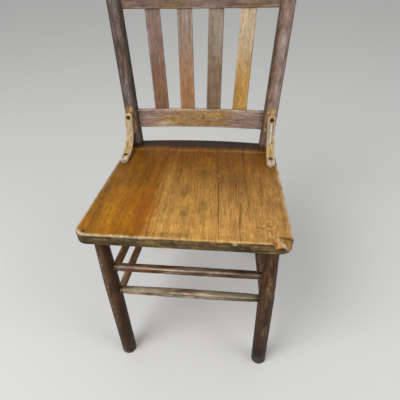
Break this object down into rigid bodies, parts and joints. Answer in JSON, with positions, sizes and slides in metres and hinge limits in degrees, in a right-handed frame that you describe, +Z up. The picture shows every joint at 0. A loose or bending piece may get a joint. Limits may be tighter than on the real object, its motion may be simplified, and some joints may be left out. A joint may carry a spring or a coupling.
{
  "type": "slat-back wooden kitchen chair",
  "caption": "Old plank-seat wooden side chair with round raked posts, bowed rails, flat back slats, turned legs, stretchers and bent hip braces, in worn dark varnish.",
  "frame": {"origin": "middle of the chair's bounding box, on the floor", "axes": "+Z up, the seat's front edge faces -Y, +X to the right as seen from the front"},
  "size_m": [0.4354, 0.4752, 0.8553],
  "materials": {
    "seat_varnish": "worn amber varnish over open-grained wood, rubbed edges",
    "dark_varnish": "dark brown varnish, crazed and chipped, semi-gloss",
    "rubbed_varnish": "brown varnish rubbed through to tan wood by feet",
    "rail_varnish": "brown varnish bloomed grey, worn through in patches",
    "slat_varnish": "brown varnish with visible straight grain, semi-gloss",
    "bare_pale_wood": "pale golden wood, varnish worn off the edges",
    "old_steel": "dark oxidised steel"
  },
  "bodies": {
    "root": {"left_seat_board": "seat_varnish", "middle_seat_board": "seat_varnish", "right_seat_board": "seat_varnish", "left_front_leg": "dark_varnish", "right_front_leg": "dark_varnish", "left_rear_leg": "dark_varnish", "right_rear_leg": "dark_varnish", "upper_front_stretcher": "rubbed_varnish", "lower_front_stretcher": "rubbed_varnish", "rear_stretcher": "rubbed_varnish", "left_upper_side_stretcher": "rubbed_varnish", "left_lower_side_stretcher": "rubbed_varnish", "right_upper_side_stretcher": "rubbed_varnish", "right_lower_side_stretcher": "rubbed_varnish", "left_post": "dark_varnish", "right_post": "dark_varnish", "lower_rail": "rail_varnish", "crest_rail": "rail_varnish", "slat_1": "slat_varnish", "slat_2": "slat_varnish", "slat_3": "slat_varnish", "slat_4": "slat_varnish", "left_hip_brace": "bare_pale_wood", "right_hip_brace": "bare_pale_wood", "left_brace_upper_screw": "old_steel", "left_brace_lower_screw": "old_steel", "right_brace_upper_screw": "old_steel", "right_brace_lower_screw": "old_steel"}
  },
  "joints": []
}
